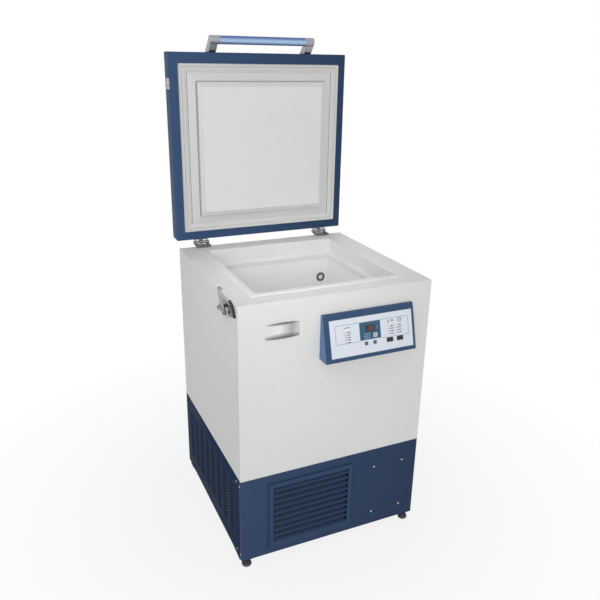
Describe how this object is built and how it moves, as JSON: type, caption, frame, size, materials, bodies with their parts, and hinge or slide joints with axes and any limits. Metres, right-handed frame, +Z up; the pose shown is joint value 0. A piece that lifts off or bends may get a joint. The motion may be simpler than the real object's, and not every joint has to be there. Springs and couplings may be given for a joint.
{
  "type": "chest ultra low temperature freezer",
  "caption": "Small upright-bodied chest freezer for deep cold storage, with a top lid on rear hinges, a tube handle, a side latch, a sloping control panel and a louvred machine base.",
  "frame": {"origin": "on the floor, under the middle of the cabinet, in the plane of the feet's undersides", "axes": "+Z up, -Y towards the front with the control panel, +X to the right of a person who faces the front"},
  "size_m": [0.7642, 0.848, 1.8363],
  "materials": {
    "white_steel": "semi-gloss powder coat",
    "blue_steel": "semi-gloss powder coat",
    "lid_blue": "semi-gloss powder coat",
    "panel_blue": "satin paint",
    "handle_blue": "gloss paint",
    "black_steel": "satin black paint",
    "bright_steel": "zinc plated or brushed",
    "brushed_metal": "brushed",
    "fin_aluminium": "bare fins",
    "hinge_chrome": "polished",
    "copper": "bare copper",
    "white_plastic": "satin moulding",
    "dark_plastic": "satin moulding",
    "overlay_teal": "printed overlay",
    "key_pale": "moulded key",
    "display_dark": "tinted window",
    "lamp_red": "lamp lens",
    "board_green": "circuit board",
    "foam": "rigid foam",
    "filter_mat": "open mat",
    "white_rubber": "soft gasket",
    "foot_rubber": "moulded foot"
  },
  "bodies": {
    "cabinet": {"outer_shell": "white_steel", "rear_panel": "white_steel", "opening_collar": "white_plastic", "inner_liner": "white_steel", "foam_insulation": "foam", "evaporator_coil": "copper", "port_sleeve": "dark_plastic", "base_pan": "blue_steel", "foot_brackets": "black_steel", "deck_frame": "blue_steel", "base_front_panel": "blue_steel", "louvre_grille": "blue_steel", "air_filter": "filter_mat", "service_panel": "blue_steel", "left_side_panel": "blue_steel", "right_side_panel": "blue_steel", "rear_cover": "blue_steel", "power_inlet": "dark_plastic", "panel_screws": "bright_steel", "compressor_first": "black_steel", "compressor_second": "black_steel", "condenser": "fin_aluminium", "fan_shroud": "black_steel", "fan_motor": "bright_steel", "heat_exchanger": "bright_steel", "expansion_tank": "black_steel", "refrigerant_pipes": "copper", "electrical_box": "bright_steel", "control_housing": "panel_blue", "control_face": "white_plastic", "display_overlay": "overlay_teal", "display_window": "display_dark", "indicator_lamps": "lamp_red", "control_board": "board_green", "badge_plate": "bright_steel", "cabinet_hinge_leaves": "hinge_chrome", "hinge_pins": "bright_steel", "hinge_springs": "bright_steel", "latch_base": "hinge_chrome", "latch_guard": "dark_plastic"},
    "lid": {"lid_shell": "lid_blue", "lid_foam": "foam", "lid_liner": "white_plastic", "lid_gasket": "white_rubber", "handle_tube": "handle_blue", "handle_brackets": "brushed_metal", "lid_hinge_leaves": "hinge_chrome", "lid_keeper": "hinge_chrome"},
    "latch": {"latch_arm": "hinge_chrome"},
    "plug": {"port_plug": "white_rubber"},
    "fan": {"fan_blade": "dark_plastic"},
    "front_left_foot": {"foot_front_left": "foot_rubber"},
    "front_right_foot": {"foot_front_right": "foot_rubber"},
    "rear_left_foot": {"foot_rear_left": "foot_rubber"},
    "rear_right_foot": {"foot_rear_right": "foot_rubber"},
    "set_button": {"set_key": "key_pale"},
    "left_button": {"left_key": "overlay_teal"},
    "right_button": {"right_key": "overlay_teal"},
    "left_switch": {"left_rocker": "dark_plastic"},
    "right_switch": {"right_rocker": "dark_plastic"}
  },
  "joints": [
    {"name": "lid_hinge", "type": "hinge", "parent": "cabinet", "child": "lid", "pos_m": [0, 0.3715, 1.0455], "axis": [1, 0, 0], "range_deg": [0, 90]},
    {"name": "latch_pivot", "type": "hinge", "parent": "cabinet", "child": "latch", "pos_m": [-0.381, -0.245, 0.986], "axis": [0, 1, 0], "range_deg": [-60, 6]},
    {"name": "plug_pull", "type": "slide", "parent": "cabinet", "child": "plug", "axis": [0, 1, 0], "range_m": [0, 0.14]},
    {"name": "fan_spin", "type": "hinge", "parent": "cabinet", "child": "fan", "pos_m": [-0.0915, -0.29, 0.165], "axis": [0, 1, 0], "continuous": true},
    {"name": "foot_thread_front_left", "type": "slide", "parent": "cabinet", "child": "front_left_foot", "axis": [0, 0, 1], "range_m": [-0.015, 0]},
    {"name": "foot_thread_front_right", "type": "slide", "parent": "cabinet", "child": "front_right_foot", "axis": [0, 0, 1], "range_m": [-0.015, 0]},
    {"name": "foot_thread_rear_left", "type": "slide", "parent": "cabinet", "child": "rear_left_foot", "axis": [0, 0, 1], "range_m": [-0.015, 0]},
    {"name": "foot_thread_rear_right", "type": "slide", "parent": "cabinet", "child": "rear_right_foot", "axis": [0, 0, 1], "range_m": [-0.015, 0]},
    {"name": "set_press", "type": "slide", "parent": "cabinet", "child": "set_button", "axis": [0, 0.9646, -0.2636], "range_m": [0, 0.001], "stiffness_N_per_m": 800, "springref_m": -0.0005},
    {"name": "left_press", "type": "slide", "parent": "cabinet", "child": "left_button", "axis": [0, 0.9646, -0.2636], "range_m": [0, 0.001], "stiffness_N_per_m": 800, "springref_m": -0.0005},
    {"name": "right_press", "type": "slide", "parent": "cabinet", "child": "right_button", "axis": [0, 0.9646, -0.2636], "range_m": [0, 0.001], "stiffness_N_per_m": 800, "springref_m": -0.0005},
    {"name": "left_rock", "type": "hinge", "parent": "cabinet", "child": "left_switch", "pos_m": [0.1775, -0.39305, 0.84905], "axis": [0, 0.2636, 0.9646], "range_deg": [-16, 0]},
    {"name": "right_rock", "type": "hinge", "parent": "cabinet", "child": "right_switch", "pos_m": [0.2185, -0.39305, 0.84905], "axis": [0, 0.2636, 0.9646], "range_deg": [-16, 0]}
  ]
}
